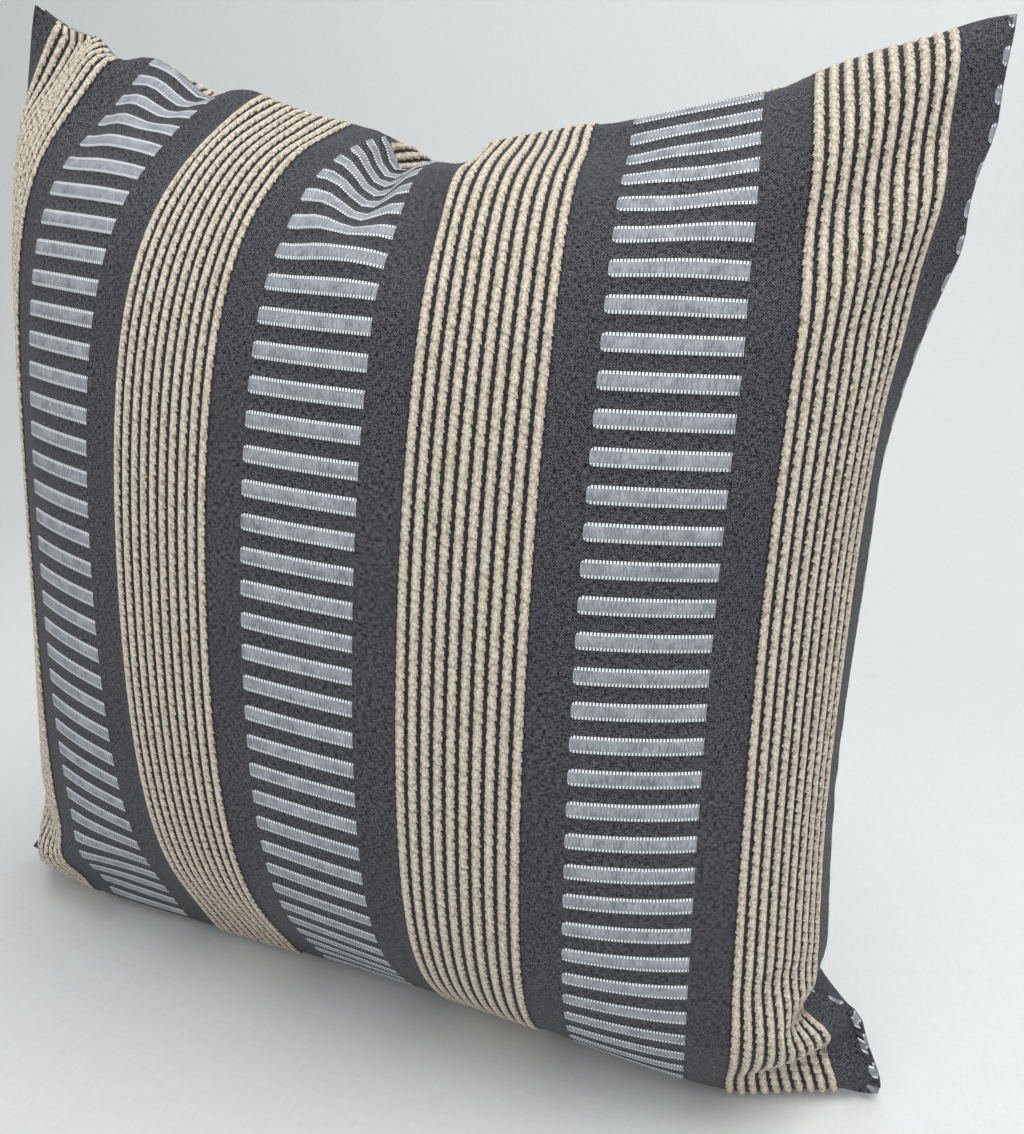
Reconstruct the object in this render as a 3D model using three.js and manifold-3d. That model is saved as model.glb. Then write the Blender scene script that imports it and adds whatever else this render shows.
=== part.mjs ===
// A square throw pillow, standing on its bottom edge: a removable two-panel cover with a zip in the
// bottom seam, over a sewn inner pad full of fibre. Millimetres, +Z up, front towards -Y,
// origin in the middle of the flat base.
import * as THREE from "three";
import { mergeVertices } from "three/addons/utils/BufferGeometryUtils.js";
import Module from "manifold-3d";

const wasm = await Module();
wasm.setup();

// ---- driving dimensions ----
const EAR_HALF_WIDTH = 250; // centre to the tip of an ear
const EAR_TOP = 482; // floor to the tip of a top ear
const SIDE_BOW = 27; // how far a side pulls in between its corners
const TOP_BOW = 48; // how far the top edge drops between its corners
const TOP_BOW_POWER = 1.2;
const BASE_SINK = 42; // how much of the crown the floor flattens
const BASE_POWER = 8; // how squarely the flattened base meets the bottom ears
const BOTTOM_EAR_LIFT = 5; // a bottom ear's seam above the floor
const HALF_DEPTH = 91; // seam plane to the fullest part of a panel
const CROWN_POWER = 2.3; // how squarely the crown drops to the seams
const CROWN_ROUND = 0.62;
const CROWN_SAG = 0.07; // the lower half is fuller than the upper half by this share
const EAR_HALF_THICKNESS = 4.4; // half of a flat ear, both panels and their allowances
const PANEL = 2; // cover cloth with its raised ribs
const ALLOWANCE = 9; // turned-in edge of a panel at the seam
const BASE_ALLOWANCE = 4; // the same beside the zip's ends
const ALLOWANCE_POWER = 24; // keeps the narrower allowance to the flat base
const ALLOWANCE_THICKNESS = 1.2;
const ALLOWANCE_ROOM = 0.45; // between an allowance and the inside of its panel
const SEAM_GAP = 0.75; // seam plane to a panel's edge
const CLEARANCE = 0.3; // between pieces that lie together
const GRID = 26; // cells across a cover panel
const SEAM_INSET = 3; // seam thread inside the panel's edge

const ZIP_SLOT = 4.2; // seam plane to a folded panel edge along the zip
const ZIP_HALF_LENGTH = 198; // half of a zip tape
const GROOVE_DEPTH = 5.5; // the zip sits this far up in the base
const GROOVE_HALF_WIDTH = 15;
const ZIP_END = 8; // open slot past each end of the tapes
const TAPE = 0.8; // thickness of a zip tape
const TAPE_BOTTOM = GROOVE_DEPTH + PANEL + CLEARANCE;
const TAPE_INNER = 1;
const TAPE_OUTER = 12;
const COIL_INNER = 0.6;
const COIL_OUTER = 2.8;
const COIL_HEIGHT = 1.8;
const COIL_HALF_LENGTH = 193;
const STOP_LENGTH = 2.5;
const STOP_WRAP = 0.2; // a crimped stop stands this proud of its coil
const STITCH = 0.6; // thread thickness
const STITCH_OFFSET = 8.2; // seam plane to a zip stitch line
const STITCH_END = 4; // tape end to the end of its stitches

const SLIDER_HALF_LENGTH = 5;
const SLIDER_HALF_WIDTH = 3.8;
const SLIDER_WALL = 0.7;
const SLIDER_PLATE = 1.4;
const SLIDER_INNER_PLATE = 1;
const SLIDER_TAPER = 0.8; // width of the closing end against the other
const SLIDER_CORNER = 2;
const SLIDER_BITE = 0.3; // how far its parts run into each other
const POST_START = 1.5;
const POST_END = 4.5;
const CHEEK_HALF_LENGTH = 2.5;
const CHEEK_HEIGHT = 1.2;
const BAIL_HALF_LENGTH = 3;
const BAIL_HALF_WIDTH = 0.7;
const BAIL_DROP = 1.5; // the tab's axis to the bail's underside
const BAIL_BAR = 0.6;
const BAIL_LEG = 0.9;
const SLIDER_POST = 0.3; // half of the divider between the coils
const SLIDER_REST = 183; // slider position with the zip closed
const TAB_LENGTH = 24;
const TAB_HALF_WIDTH = 2.5;
const TAB_THICKNESS = 0.9;
const TAB_PLAY = 0.35; // tab to slider plate
const CROSSBAR_HALF = 0.45; // half of the bar inside the bail
const WINDOW_LENGTH = 5;
const WINDOW_HALF_WIDTH = 1.15;
const HOLE_INSET = 4.5;
const HOLE_LENGTH = 1.4;
const HOLE_WIDTH = 1.1;

const INSERT_INSET = 13; // pad edge inside the cover edge
const INSERT_SCALE = 0.955; // pad depth against cover depth
const INSERT_SHELL = 1.2;
const INSERT_SEAM_INSET = 0.8;
const INSERT_BASE = 11.2; // pad's flat base above the floor
const INSERT_EDGE = 2.2; // half thickness at the pad's edge
const INSERT_GRID = 18;
const CLOSING_HALF_LENGTH = 75; // hand-closed filling slit
const CLOSING_MARGIN = 10; // slit's end to the machine seam
const FILL_INSET = 5; // fibre inside the pad's edge
const FILL_SCALE = 0.912; // fibre depth against cover depth
const FILL_EDGE = 0.5;
const FILL_LIFT = 2; // fibre above the pad's base cloth
const FILL_GRID = 14;

// ---- colours ----
const COLOURS = {
  cloth: 0x55555a,
  thread: 0x3f4044,
  tape: 0x3a3b3f,
  coil: 0x2c2d31,
  metal: 0xb4b6ba,
  shell: 0xf0eee9,
  fibre: 0xf8f8f6,
};

const group = new THREE.Group();

// ---- small helpers ----
const clamp = (value, low, high) => Math.min(Math.max(value, low), high);

function addPiece(name, geometry, colour, roughness = 0.9, metalness = 0) {
  const material = new THREE.MeshStandardMaterial({ color: colour, roughness, metalness });
  const mesh = new THREE.Mesh(geometry, material);
  mesh.name = name;
  group.add(mesh);
  return mesh;
}

function fromIndexed(points, triangles) {
  const geometry = new THREE.BufferGeometry();
  geometry.setAttribute("position", new THREE.Float32BufferAttribute(points.flat(), 3));
  geometry.setIndex(triangles.flat());
  return geometry;
}

function toSolid(geometry) {
  const bare = geometry.clone();
  bare.deleteAttribute("normal");
  bare.deleteAttribute("uv");
  const merged = mergeVertices(bare, 1e-4);
  return new wasm.Manifold(
    new wasm.Mesh({
      numProp: 3,
      vertProperties: new Float32Array(merged.attributes.position.array),
      triVerts: new Uint32Array(merged.index.array),
    }),
  );
}

function toGeometry(solid) {
  const mesh = solid.getMesh();
  const geometry = new THREE.BufferGeometry();
  geometry.setAttribute("position", new THREE.Float32BufferAttribute(mesh.vertProperties, 3));
  geometry.setIndex(Array.from(mesh.triVerts));
  return geometry;
}

function box(low, high) {
  const size = high.map((value, axis) => value - low[axis]);
  const geometry = new THREE.BoxGeometry(...size);
  return geometry.translate(...low.map((value, axis) => value + size[axis] / 2));
}

// A flat plate in X and Y from an outline, with its underside at a height.
function plate(shape, bottom, thickness) {
  const options = { depth: thickness, bevelEnabled: false, curveSegments: 6 };
  return new THREE.ExtrudeGeometry(shape, options).translate(0, 0, bottom);
}

// A bar of square section along a list of points, closed at both ends.
function bar(points, halfWide, halfHigh) {
  const side = new THREE.Vector3(0, 1, 0);
  const corners = [[-1, -1], [1, -1], [1, 1], [-1, 1]];
  const rings = points.map((point, index) => {
    const before = points[Math.max(index - 1, 0)];
    const after = points[Math.min(index + 1, points.length - 1)];
    const along = after.clone().sub(before).normalize();
    const up = side.clone().cross(along).normalize();
    return corners.map(([high, wide]) => {
      const place = point.clone().addScaledVector(up, high * halfHigh);
      return place.addScaledVector(side, wide * halfWide).toArray();
    });
  });
  const triangles = [];
  for (let ring = 0; ring + 1 < rings.length; ring += 1) {
    for (let corner = 0; corner < 4; corner += 1) {
      const next = (corner + 1) % 4;
      const a = ring * 4 + corner;
      const b = ring * 4 + next;
      triangles.push([a, b, b + 4], [a, b + 4, a + 4]);
    }
  }
  const last = (rings.length - 1) * 4;
  triangles.push([0, 2, 1], [0, 3, 2], [last, last + 1, last + 2], [last, last + 2, last + 3]);
  return fromIndexed(rings.flat(), triangles);
}

// ---- the pillow's form ----
// across and up run from -1 to 1 over a panel; inset shrinks the outline towards the middle.
function outline(across, up, inset) {
  const halfWidth = EAR_HALF_WIDTH - SIDE_BOW * (1 - up * up) - inset;
  const bottom = BOTTOM_EAR_LIFT - (BASE_SINK + BOTTOM_EAR_LIFT) * (1 - across ** BASE_POWER) + inset;
  const top = EAR_TOP - TOP_BOW * (1 - across * across) ** TOP_BOW_POWER - inset;
  return { x: across * halfWidth, z: bottom + ((top - bottom) * (up + 1)) / 2 };
}

// Distance from the seam plane to the crown.
function crown(across, up) {
  const acrossPart = Math.max(1 - Math.abs(across) ** CROWN_POWER, 0);
  const upPart = Math.max(1 - Math.abs(up) ** CROWN_POWER, 0);
  return HALF_DEPTH * (1 - CROWN_SAG * up) * (acrossPart * upPart) ** CROWN_ROUND;
}

const spaced = (index, cells) => -Math.cos((Math.PI * index) / cells);

// The base rises beside the zip into a shallow groove.
function grooveHeight(depth) {
  return GROOVE_DEPTH * clamp((GROOVE_HALF_WIDTH - depth) / (GROOVE_HALF_WIDTH - ZIP_SLOT), 0, 1);
}

// Half of the slot between the panels at a point of the outline.
function edgeGap(across, up, x) {
  if (up > -1 || Math.abs(x) > ZIP_HALF_LENGTH + ZIP_END) return SEAM_GAP;
  return ZIP_SLOT;
}

// Points of one panel's outer face, in rows from the bottom seam to the top seam.
function panelFace(cells, inset, scale, edgeHalf, floor, gapAt, grooved) {
  const rows = [];
  for (let j = 0; j <= cells; j += 1) {
    const row = [];
    for (let i = 0; i <= cells; i += 1) {
      const across = spaced(i, cells);
      const up = spaced(j, cells);
      const rim = i === 0 || j === 0 || i === cells || j === cells;
      const { x, z } = outline(across, up, inset);
      const depth = rim ? gapAt(across, up, x) : Math.hypot(crown(across, up) * scale, edgeHalf);
      const bottom = grooved ? floor + grooveHeight(depth) : floor;
      row.push([x, -depth, Math.max(z, bottom)]);
    }
    rows.push(row);
  }
  rows.inset = inset;
  return rows;
}

// A rim point moved in by reach along the panel, and by rise on the bottom edge.
function insideRim(face, j, i, reach, rise) {
  const cells = face.length - 1;
  const { x, z } = outline(spaced(i, cells), spaced(j, cells), face.inset + reach);
  return { x, z: j === 0 ? face[0][i][2] + rise : z };
}

// The inner face: each point moves in along the face's normal by the wall.
function innerFace(face, wall, leastDepth, floor, grooved) {
  const cells = face.length - 1;
  const vector = (point) => new THREE.Vector3(...point);
  return face.map((row, j) =>
    row.map((point, i) => {
      const left = vector(face[j][Math.max(i - 1, 0)]);
      const right = vector(face[j][Math.min(i + 1, cells)]);
      const below = vector(face[Math.max(j - 1, 0)][i]);
      const above = vector(face[Math.min(j + 1, cells)][i]);
      const normal = right.sub(left).cross(above.sub(below)).normalize();
      const rim = i === 0 || j === 0 || i === cells || j === cells;
      if (rim) {
        const { x, z } = insideRim(face, j, i, wall, wall);
        return [x, -Math.max(leastDepth, -point[1] + 0.1), z];
      }
      const moved = vector(point).addScaledVector(normal, -wall);
      const depth = Math.max(-moved.y, leastDepth);
      const bottom = grooved ? floor + grooveHeight(-point[1]) : floor;
      return [moved.x, -depth, Math.max(moved.z, bottom + wall)];
    }),
  );
}

// The rim of a grid of points, once round, anticlockwise seen from the front.
function rimIndices(cells) {
  const rim = [];
  for (let i = 0; i < cells; i += 1) rim.push([0, i]);
  for (let j = 0; j < cells; j += 1) rim.push([j, cells]);
  for (let i = cells; i > 0; i -= 1) rim.push([cells, i]);
  for (let j = cells; j > 0; j -= 1) rim.push([j, 0]);
  return rim;
}

// Turned-in allowance: two loops of points between the outer and the inner rim.
function allowanceLoops(face, length, thickness) {
  const cells = face.length - 1;
  return [0, thickness].map((offset) =>
    rimIndices(cells).map(([j, i]) => {
      const y = face[j][i][1];
      const zip = -y > SEAM_GAP + CLEARANCE;
      const fold = PANEL * (offset ? 0.7 : 0.3);
      const sewn = BASE_ALLOWANCE + (length - BASE_ALLOWANCE) * Math.abs(spaced(i, cells)) ** ALLOWANCE_POWER;
      const { x, z } = insideRim(face, j, i, zip ? fold : length, zip ? fold : sewn);
      return [x, y - (zip ? 0 : offset), z];
    }),
  );
}

// A closed shell from an outer face, loops round its rim and an inner face.
function shell(outer, loops, inner) {
  const cells = outer.length - 1;
  const width = cells + 1;
  const points = [...outer.flat(), ...inner.flat(), ...loops.flat()];
  const triangles = [];
  const innerStart = width * width;
  for (let j = 0; j < cells; j += 1) {
    for (let i = 0; i < cells; i += 1) {
      const a = j * width + i;
      const b = a + 1;
      const c = a + width;
      const d = c + 1;
      const flip = (i < cells / 2) === (j < cells / 2);
      const faces = flip ? [[a, b, d], [a, d, c]] : [[a, b, c], [b, d, c]];
      faces.forEach(([p, q, r]) => {
        triangles.push([p, q, r]);
        triangles.push([p + innerStart, r + innerStart, q + innerStart]);
      });
    }
  }
  const rim = rimIndices(cells);
  const count = rim.length;
  const outerRim = rim.map(([j, i]) => j * width + i);
  const innerRim = outerRim.map((index) => index + innerStart);
  const loopRims = loops.map((loop, order) => loop.map((_, k) => innerStart * 2 + order * count + k));
  const chain = [outerRim, ...loopRims, innerRim];
  for (let ring = 0; ring + 1 < chain.length; ring += 1) {
    for (let k = 0; k < count; k += 1) {
      const next = (k + 1) % count;
      const [a, b] = [chain[ring][k], chain[ring][next]];
      const [c, d] = [chain[ring + 1][k], chain[ring + 1][next]];
      triangles.push([b, a, c], [b, c, d]);
    }
  }
  return fromIndexed(points, triangles);
}

// The same shape on the other side of the seam plane.
function mirrored(geometry) {
  const copy = geometry.clone().scale(1, -1, 1);
  const order = copy.index.array;
  for (let t = 0; t < order.length; t += 3) [order[t], order[t + 1]] = [order[t + 1], order[t]];
  return copy;
}

// ---- cover ----
const coverFace = panelFace(GRID, 0, 1, EAR_HALF_THICKNESS, 0, edgeGap, true);

function coverPanel() {
  const inner = innerFace(coverFace, PANEL, SEAM_GAP + ALLOWANCE_THICKNESS + ALLOWANCE_ROOM, 0, true);
  return shell(coverFace, allowanceLoops(coverFace, ALLOWANCE, ALLOWANCE_THICKNESS), inner);
}

// The line of lock stitching between the allowances, along the sewn stretch of the outline.
function seamLine(face, inset, startHalf) {
  const cells = face.length - 1;
  const rim = rimIndices(cells).map(([j, i]) => {
    const { x, z } = insideRim(face, j, i, inset, inset);
    return new THREE.Vector3(x, 0, z);
  });
  const start = rim.findIndex((point, k) => k < cells && point.x > startHalf);
  const turned = [...rim.slice(start), ...rim.slice(0, start)];
  const end = turned.findIndex((point, k) => k > 3 * cells && point.x > -startHalf);
  return turned.slice(0, end);
}

// ---- zip ----
function zipCoil() {
  const low = [-COIL_HALF_LENGTH, -COIL_OUTER, TAPE_BOTTOM - CLEARANCE - COIL_HEIGHT];
  return box(low, [COIL_HALF_LENGTH, -COIL_INNER, TAPE_BOTTOM - CLEARANCE]);
}

function zipTape() {
  const low = [-ZIP_HALF_LENGTH, -TAPE_OUTER, TAPE_BOTTOM];
  return box(low, [ZIP_HALF_LENGTH, -TAPE_INNER, TAPE_BOTTOM + TAPE]);
}

// The stitch line that holds a tape, on the panel's outside in the groove.
function zipStitch() {
  const top = grooveHeight(STITCH_OFFSET + STITCH) - CLEARANCE;
  const halfLength = ZIP_HALF_LENGTH - STITCH_END;
  const low = [-halfLength, -STITCH_OFFSET - STITCH, top - STITCH];
  return box(low, [halfLength, -STITCH_OFFSET, top]);
}

// A crimped stop at the end of the coils: on one coil, or across both.
function zipStop(end, both) {
  const top = TAPE_BOTTOM - CLEARANCE;
  const near = end * (COIL_HALF_LENGTH + CLEARANCE);
  const far = near + end * STOP_LENGTH;
  const outer = COIL_OUTER + STOP_WRAP;
  const low = [Math.min(near, far), -outer, top - COIL_HEIGHT - STOP_WRAP];
  return box(low, [Math.max(near, far), both ? outer : -COIL_INNER, top]);
}

// Slider plates narrow towards the end that closes the coils.
function sliderPlate(halfWidth) {
  const shape = new THREE.Shape();
  const front = SLIDER_HALF_LENGTH;
  const narrow = halfWidth * SLIDER_TAPER;
  shape.moveTo(-front, -narrow);
  shape.lineTo(front - SLIDER_CORNER, -halfWidth);
  shape.quadraticCurveTo(front, -halfWidth, front, SLIDER_CORNER - halfWidth);
  shape.lineTo(front, halfWidth - SLIDER_CORNER);
  shape.quadraticCurveTo(front, halfWidth, front - SLIDER_CORNER, halfWidth);
  shape.lineTo(-front, narrow);
  shape.closePath();
  return shape;
}

const COIL_BOTTOM = TAPE_BOTTOM - CLEARANCE - COIL_HEIGHT;
const OUTER_PLATE_TOP = COIL_BOTTOM - 0.4;
const OUTER_PLATE_BOTTOM = OUTER_PLATE_TOP - SLIDER_PLATE;
const INNER_PLATE_BOTTOM = TAPE_BOTTOM + TAPE + CLEARANCE;
const TAB_AXIS = OUTER_PLATE_BOTTOM - TAB_PLAY - TAB_THICKNESS / 2;
const BAIL_BOTTOM = TAB_AXIS - BAIL_DROP;

function sliderPost() {
  const low = [POST_START, -SLIDER_POST, OUTER_PLATE_TOP - SLIDER_BITE];
  return toSolid(box(low, [POST_END, SLIDER_POST, INNER_PLATE_BOTTOM + SLIDER_BITE]));
}

function sliderCheek(sign) {
  const inside = sign * (SLIDER_HALF_WIDTH - SLIDER_WALL);
  const outside = sign * SLIDER_HALF_WIDTH;
  const low = [-CHEEK_HALF_LENGTH, Math.min(inside, outside), OUTER_PLATE_TOP - SLIDER_BITE];
  return toSolid(box(low, [CHEEK_HALF_LENGTH, Math.max(inside, outside), COIL_BOTTOM + CHEEK_HEIGHT]));
}

// The loop under the slider that holds the tab's crossbar.
function sliderBail() {
  const half = BAIL_HALF_LENGTH;
  const wide = BAIL_HALF_WIDTH;
  const opening = half - BAIL_LEG;
  const outside = toSolid(box([-half, -wide, BAIL_BOTTOM], [half, wide, OUTER_PLATE_BOTTOM + SLIDER_BITE]));
  const holeLow = [-opening, -2 * wide, BAIL_BOTTOM + BAIL_BAR];
  return outside.subtract(toSolid(box(holeLow, [opening, 2 * wide, OUTER_PLATE_BOTTOM])));
}

function slider() {
  const shape = sliderPlate(SLIDER_HALF_WIDTH);
  const outer = toSolid(plate(shape, OUTER_PLATE_BOTTOM, SLIDER_PLATE));
  const inner = toSolid(plate(shape, INNER_PLATE_BOTTOM, SLIDER_INNER_PLATE));
  const parts = [inner, sliderPost(), sliderCheek(1), sliderCheek(-1), sliderBail()];
  return toGeometry(parts.reduce((whole, part) => whole.add(part), outer));
}

// The tab hangs from a crossbar that passes under the slider's bail; it points to -X.
function pullTab() {
  const outside = new THREE.Shape();
  const round = TAB_LENGTH - TAB_HALF_WIDTH * 0.8;
  outside.moveTo(CROSSBAR_HALF, -TAB_HALF_WIDTH);
  outside.lineTo(CROSSBAR_HALF, TAB_HALF_WIDTH);
  outside.lineTo(-round, TAB_HALF_WIDTH);
  outside.quadraticCurveTo(-TAB_LENGTH, TAB_HALF_WIDTH, -TAB_LENGTH, 0);
  outside.quadraticCurveTo(-TAB_LENGTH, -TAB_HALF_WIDTH, -round, -TAB_HALF_WIDTH);
  outside.closePath();
  const window = new THREE.Path();
  window.moveTo(-CROSSBAR_HALF, -WINDOW_HALF_WIDTH);
  window.lineTo(-WINDOW_LENGTH, -WINDOW_HALF_WIDTH);
  window.lineTo(-WINDOW_LENGTH, WINDOW_HALF_WIDTH);
  window.lineTo(-CROSSBAR_HALF, WINDOW_HALF_WIDTH);
  window.closePath();
  const hole = new THREE.Path();
  hole.absellipse(-TAB_LENGTH + HOLE_INSET, 0, HOLE_LENGTH, HOLE_WIDTH, 0, Math.PI * 2);
  outside.holes.push(window, hole);
  return plate(outside, TAB_AXIS - TAB_THICKNESS / 2, TAB_THICKNESS);
}

// ---- insert ----
const insertGap = () => SEAM_GAP;
const insertFace = panelFace(
  INSERT_GRID, INSERT_INSET, INSERT_SCALE, INSERT_EDGE, INSERT_BASE, insertGap, false);

function insertShell() {
  const inner = innerFace(insertFace, INSERT_SHELL, SEAM_GAP + 0.25, INSERT_BASE, false);
  return shell(insertFace, [], inner);
}

function fibreFill() {
  const inset = INSERT_INSET + FILL_INSET;
  const floor = INSERT_BASE + INSERT_SHELL + FILL_LIFT;
  const edge = () => FILL_EDGE;
  const front = panelFace(FILL_GRID, inset, FILL_SCALE, FILL_EDGE, floor, edge, false);
  const back = front.map((row) => row.map(([x, y, z]) => [x, -y, z]));
  return shell(front, [], back);
}

// ---- assembly ----
const THREAD_HALF = 0.4;
const FINE_THREAD_HALF = 0.3;
const frontPanel = coverPanel();
addPiece("cover_front_panel", frontPanel, COLOURS.cloth, 0.95);
addPiece("cover_back_panel", mirrored(frontPanel), COLOURS.cloth, 0.95);
const coverSeam = seamLine(coverFace, SEAM_INSET, ZIP_HALF_LENGTH + ZIP_END);
addPiece("cover_seam_thread", bar(coverSeam, THREAD_HALF, THREAD_HALF), COLOURS.thread);

addPiece("zip_tape_front", zipTape(), COLOURS.tape);
addPiece("zip_tape_back", mirrored(zipTape()), COLOURS.tape);
addPiece("zip_coil_front", zipCoil(), COLOURS.coil, 0.5);
addPiece("zip_coil_back", mirrored(zipCoil()), COLOURS.coil, 0.5);
addPiece("zip_stitch_front", zipStitch(), COLOURS.thread);
addPiece("zip_stitch_back", mirrored(zipStitch()), COLOURS.thread);
addPiece("zip_top_stop_front", zipStop(1, false), COLOURS.metal, 0.35, 1);
addPiece("zip_top_stop_back", mirrored(zipStop(1, false)), COLOURS.metal, 0.35, 1);
addPiece("zip_bottom_stop", zipStop(-1, true), COLOURS.metal, 0.35, 1);
addPiece("zip_slider", slider(), COLOURS.metal, 0.35, 1).position.x = SLIDER_REST;
addPiece("zip_pull_tab", pullTab(), COLOURS.metal, 0.35, 1).position.x = SLIDER_REST;

const insertFront = insertShell();
addPiece("insert_shell_front", insertFront, COLOURS.shell);
addPiece("insert_shell_back", mirrored(insertFront), COLOURS.shell);
const insertSeam = seamLine(insertFace, INSERT_SEAM_INSET, CLOSING_HALF_LENGTH + CLOSING_MARGIN);
addPiece("insert_seam_thread", bar(insertSeam, THREAD_HALF, FINE_THREAD_HALF), COLOURS.shell);
const closingHeight = INSERT_BASE + INSERT_SEAM_INSET;
const closingEnds = [-CLOSING_HALF_LENGTH, CLOSING_HALF_LENGTH];
const closingLine = closingEnds.map((x) => new THREE.Vector3(x, 0, closingHeight));
addPiece("insert_closing_stitch", bar(closingLine, THREAD_HALF, FINE_THREAD_HALF), COLOURS.shell);
addPiece("fibre_fill", fibreFill(), COLOURS.fibre);

export default group;
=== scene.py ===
"""A square throw pillow that stands on its bottom edge.

The cover is cut as two flat squares. A small cloth solver sews them together, fills them and stands them
on the floor; ribs, ladder bars, seams, the zip and the pad inside are then built on the settled cloth.
Metres, +Z up, front towards -Y, as the frame has them.
"""
import math

import bpy
import numpy as np
from mathutils import Matrix, Vector


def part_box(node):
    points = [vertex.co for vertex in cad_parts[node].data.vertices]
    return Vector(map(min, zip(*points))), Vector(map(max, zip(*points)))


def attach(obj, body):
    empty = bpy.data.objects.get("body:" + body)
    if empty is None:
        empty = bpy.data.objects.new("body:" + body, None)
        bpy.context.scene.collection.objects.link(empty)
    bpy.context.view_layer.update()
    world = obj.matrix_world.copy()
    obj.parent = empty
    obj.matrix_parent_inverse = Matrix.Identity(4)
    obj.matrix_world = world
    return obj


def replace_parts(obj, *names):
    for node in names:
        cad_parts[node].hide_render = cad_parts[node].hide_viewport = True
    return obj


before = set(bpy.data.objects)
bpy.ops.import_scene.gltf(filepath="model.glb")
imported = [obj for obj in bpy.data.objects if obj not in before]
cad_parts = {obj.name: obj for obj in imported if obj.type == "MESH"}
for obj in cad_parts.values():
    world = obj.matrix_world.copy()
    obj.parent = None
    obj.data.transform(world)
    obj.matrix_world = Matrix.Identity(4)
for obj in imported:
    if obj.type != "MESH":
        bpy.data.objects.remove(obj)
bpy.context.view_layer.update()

MM = 0.001

# ---- the cover's cut and its woven pattern ----
SIDE = 0.508  # side of each flat panel
CLOTH = 1.2 * MM
ALLOWANCE = 9 * MM
REPEAT = 0.1407  # one ladder and one band of ribs
LADDER_EDGE = 0.0828  # left seam to the first ladder's left edge
LADDER_WIDTH = 0.0520
BAND_START = 0.50 * REPEAT  # ladder's left edge to the band's
BAND_WIDTH = 0.38 * REPEAT
RIBS = 10
RIB_PITCH = BAND_WIDTH / RIBS
RIB_HALF = 0.33  # half of a rib, as a share of the pitch
RIB_HEIGHT = 1.5 * MM
RUNG_PITCH = 14.0 * MM
RUNG_HALF = 3.6 * MM
RUNG_PHASE = 0.3241  # height of one rung's middle on the flat panel
RUNG_HEIGHT = 0.35 * MM
BACK_SHIFT = -0.0738  # how far the back panel's pattern is moved across

# ---- places taken from the frame ----
TAPE_LOW, TAPE_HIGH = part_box("zip_tape_front")
STITCH_LOW, STITCH_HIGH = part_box("zip_stitch_front")
INSERT_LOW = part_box("insert_shell_front")[0]
OPENING = TAPE_HIGH.x  # half length of the zip opening
SLOT = 4.2 * MM  # seam plane to a folded edge beside the zip
ZIP_FOLD = 7 * MM  # cloth turned in beside the zip
ZIP_STITCH_INSET = 5 * MM
SEAM_GAP = 0.35 * MM  # seam plane to each panel's edge
CLOSING_HALF = 75 * MM  # half of the pad's hand-sewn slit
PAD_POINTS = 61
DENT_ROOM = 38 * MM  # the pad stays this far below the dent in the cover's top edge
FOLD_HEIGHT = 5.5 * MM
FLOOR = RIB_HEIGHT + 0.7 * MM  # the cloth's own lowest level, because its ribs stand proud


# ---- cloth solver ----
# A sheet is an array [panel, across, up, xyz] of points evenly spaced on the flat cut.
FORM = dict(  # the filling's shape, in metres and powers
    half_width=0.235, shift=-0.011, lean=-0.145, flare=0.020, foot=0.016,
    top=0.422, left_rise=0.012, sink=0.016, sink_slope=-0.050, heel=0.04,
    depth=0.0935, depth_slope=0.14, settled=0.75, settled_slope=-1.0,
    side_power=2.75, end_power=2.5, roundness=0.42,
    tilt=0.005, twist=0.085,
)
CHOP = dict(x=0.001, width=0.032, drop=0.006)  # the dent in the top edge
# Where the ears and the top seam rest: (across, up) in GUIDE_PARTS of the cut, then x, y, z in mm.
GUIDE_PARTS = 24
LEFT_EAR = {(0, 24): (-215, -5, 495), (2, 24): (-180, 0, 480), (4, 24): (-145, 0, 470),
            (0, 22): (-230, 0, 455)}
TOP_SEAM = {(7, 24): (-90, 0, 455), (10, 24): (-30, 0, 435), (12, 24): (-5, 5, 420), (14, 24): (30, 0, 430),
            (17, 24): (95, 0, 435)}
RIGHT_EAR = {(20, 24): (160, 0, 450), (22, 24): (200, -5, 465), (24, 24): (240, 0, 475),
             (24, 22): (240, -5, 435), (24, 20): (235, -10, 395)}
BOTTOM_EARS = {(24, 0): (250, 5, 5), (24, 2): (240, 5, 40), (0, 0): (-255, 5, 10)}
GUIDES = {**LEFT_EAR, **TOP_SEAM, **RIGHT_EAR, **BOTTOM_EARS}
GUIDE_PULL = 0.3
STIFFNESS = 0.10  # the cloth's resistance to bending
KEPT_SPEED = 0.985  # share of its speed that the cloth keeps each step
SAG = 0.02  # the cloth's weight against the filling's push
FILL_SOFTNESS = 0.015  # depth over which the filling's push changes by one
MOST_PUSH = 2.5
CORNER_EMPTY, CORNER_FADE = 0.03, 0.05  # the fibre doesn't reach into the corners
LEAST_GAP = 3 * MM  # between the panels
GRIP, SLIP = 0.9, 0.1  # how far the floor holds what lies on it
FLAT_SPREAD = 0.85  # how wide the flat cloth beside the zip is pulled
REST_WIDTH = 17 * MM  # cloth on each side of the zip that lies flat under the pillow


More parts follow.
